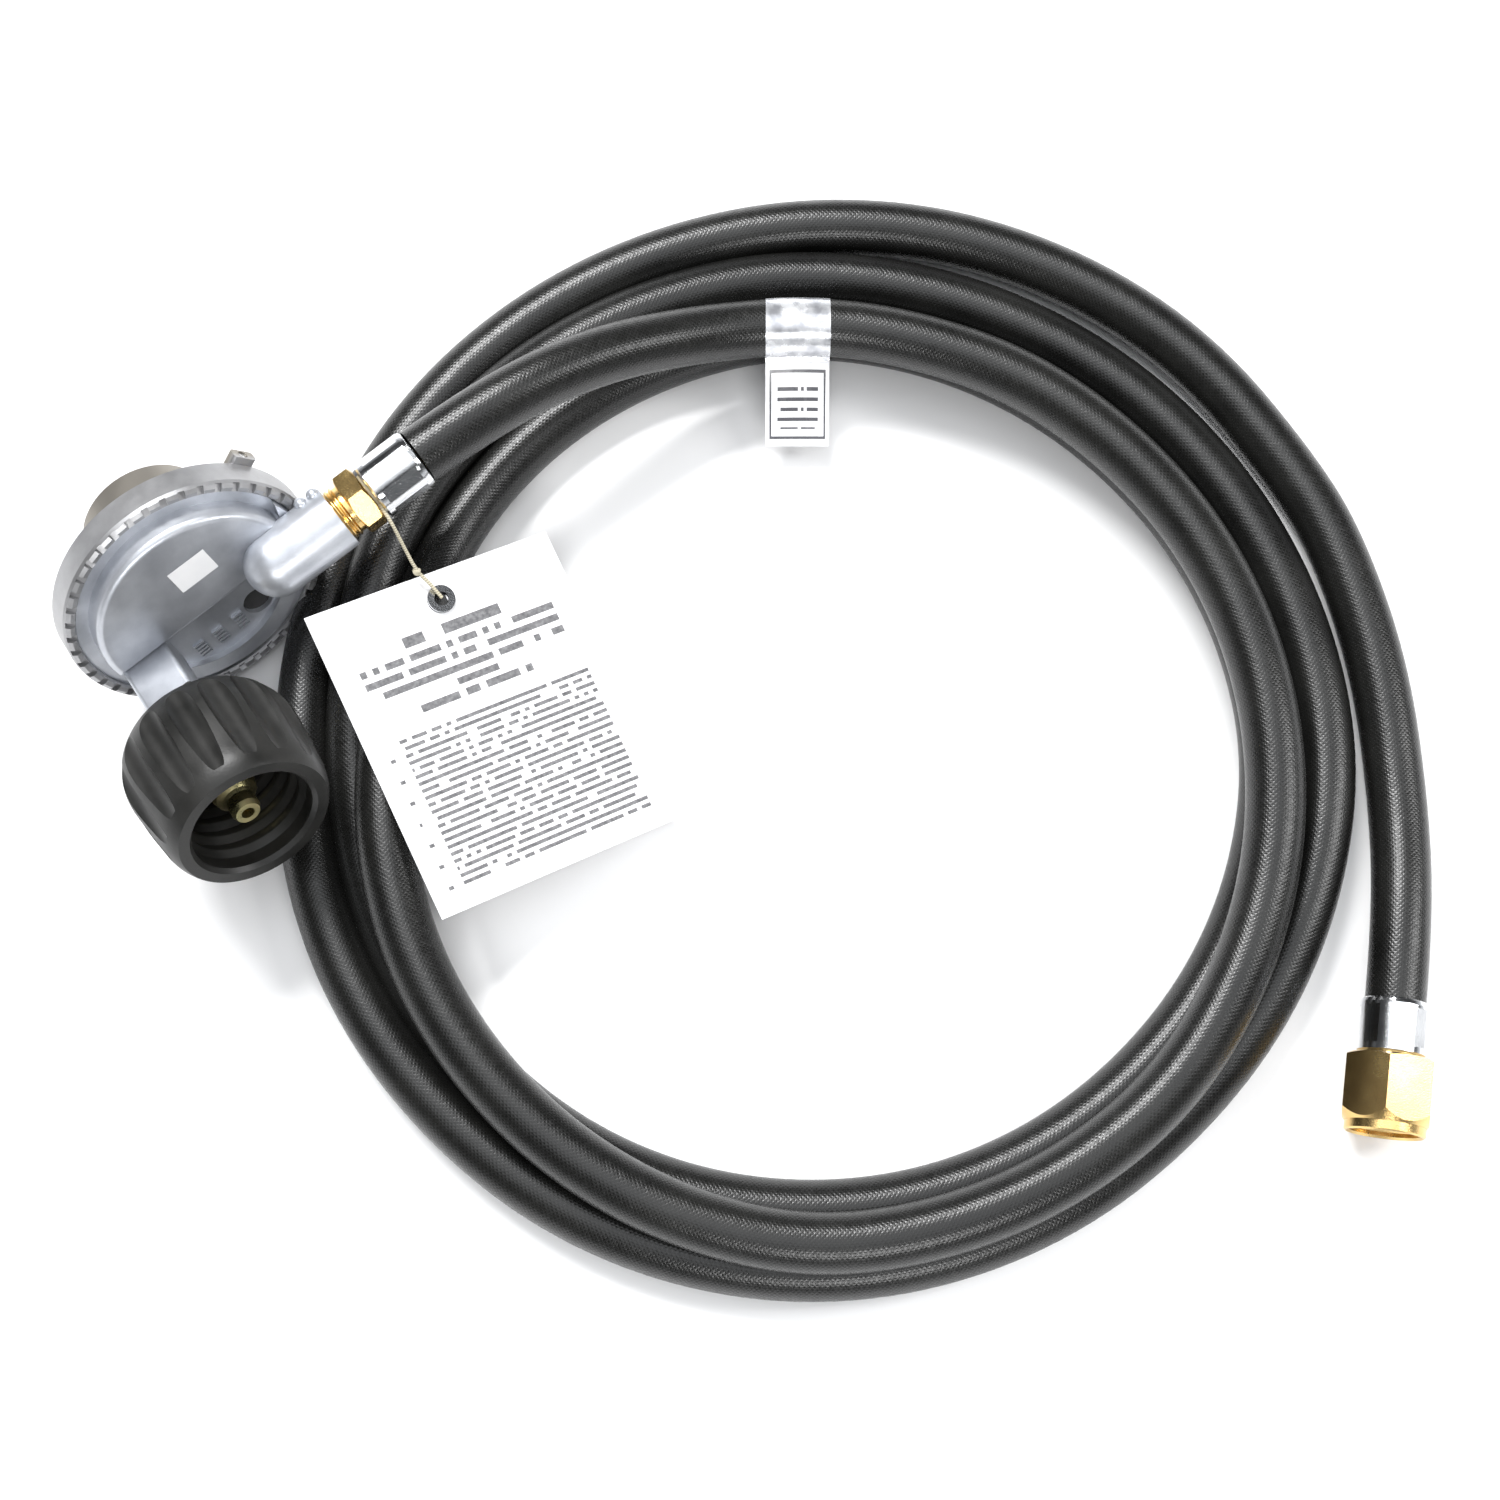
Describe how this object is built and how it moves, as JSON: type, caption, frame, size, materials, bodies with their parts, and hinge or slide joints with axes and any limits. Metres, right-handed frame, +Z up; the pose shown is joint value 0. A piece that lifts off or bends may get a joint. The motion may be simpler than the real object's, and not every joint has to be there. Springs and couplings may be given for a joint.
{
  "type": "propane regulator hose",
  "caption": "Low pressure propane regulator with a hand nut inlet, a crimped rubber hose lying in loose turns, a brass swivel end nut, a hanging card tag and a flag label.",
  "frame": {"origin": "on the floor under the middle of the regulator with its nut and outlet fitting, without the hose", "axes": "+Z up; the regulator's longest side runs along Y; the coiled hose lies towards +X"},
  "size_m": [0.3675, 0.3129, 0.0707],
  "materials": {
    "zinc": "satin",
    "bonnet_zinc": "satin",
    "brass": "machined",
    "tinned_steel": "bright",
    "spring_steel": "wire",
    "black_plastic": "semi-gloss",
    "hose_rubber": "semi-gloss",
    "soft_rubber": "matte",
    "grey_plastic": "matte",
    "card": "printed",
    "film": "silver-white",
    "twine": "twisted"
  },
  "bodies": {
    "regulator": {"lower_body": "zinc", "bonnet_cover": "bonnet_zinc", "vent_screen": "spring_steel", "tap_plug": "soft_rubber", "closing_cap": "grey_plastic", "main_spring": "spring_steel", "diaphragm": "soft_rubber", "lever_pin": "spring_steel", "inlet_orifice": "brass", "inlet_nipple": "brass", "nipple_seal": "soft_rubber", "excess_flow_spring": "spring_steel", "poppet_retainer": "brass", "outlet_fitting": "brass", "near_ferrule": "tinned_steel", "hose_lead": "hose_rubber", "hose_coil": "hose_rubber", "hose_tail": "hose_rubber", "far_ferrule": "tinned_steel", "end_insert": "brass", "warning_tag": "card", "tag_eyelet": "tinned_steel", "tag_string": "twine", "flag_label": "film"},
    "diaphragm_group": {"diaphragm_plate": "tinned_steel", "lifter_stem": "brass", "relief_spring": "spring_steel", "relief_nut": "brass"},
    "lever": {"valve_lever": "spring_steel"},
    "seat": {"seat_holder": "brass", "seat_pad": "soft_rubber"},
    "screw": {"adjusting_screw": "grey_plastic"},
    "poppet": {"excess_flow_poppet": "brass"},
    "bushing": {"thermal_bushing": "brass"},
    "hand_nut": {"coupling_nut": "black_plastic"},
    "swivel": {"end_nut": "brass"}
  },
  "joints": [
    {"name": "nut_slide", "type": "slide", "parent": "regulator", "child": "bushing", "axis": [0.5399, -0.7609, 0.3599], "range_m": [-0.004, 0]},
    {"name": "nut_spin", "type": "hinge", "parent": "bushing", "child": "hand_nut", "pos_m": [-0.00905, -0.02375, 0.03857], "axis": [0.5399, -0.7609, 0.3599], "continuous": true},
    {"name": "poppet_travel", "type": "slide", "parent": "regulator", "child": "poppet", "axis": [0.5399, -0.7609, 0.3599], "range_m": [-0.003, 0], "stiffness_N_per_m": 60, "deforming": ["excess_flow_spring"]},
    {"name": "diaphragm_travel", "type": "slide", "parent": "regulator", "child": "diaphragm_group", "axis": [0.5399, -0.7609, 0.3599], "range_m": [-0.0015, 0.0015], "stiffness_N_per_m": 2500, "deforming": ["diaphragm", "main_spring"]},
    {"name": "lever_swing", "type": "hinge", "parent": "regulator", "child": "lever", "pos_m": [-0.02551, 0.00985, 0.02816], "axis": [0.5963, 0.0439, -0.8016], "range_deg": [-5.15, 5.15]},
    {"name": "seat_travel", "type": "slide", "parent": "regulator", "child": "seat", "axis": [0.5399, -0.7609, 0.3599], "range_m": [-0.00063, 0.00063]},
    {"name": "pressure_adjust", "type": "hinge", "parent": "regulator", "child": "screw", "pos_m": [-0.02952, 0.0403, 0.02685], "axis": [0.5399, -0.7609, 0.3599], "range_deg": [-180, 180]},
    {"name": "end_swivel", "type": "hinge", "parent": "regulator", "child": "swivel", "pos_m": [0.30233, -0.10331, 0.0124], "axis": [-0.15, -0.9887, 0], "continuous": true}
  ],
  "couplings": [
    {"joint": "lever_swing", "follows": "diaphragm_travel", "rad_per_m": 59.88},
    {"joint": "seat_travel", "follows": "diaphragm_travel", "ratio": -0.4192}
  ]
}
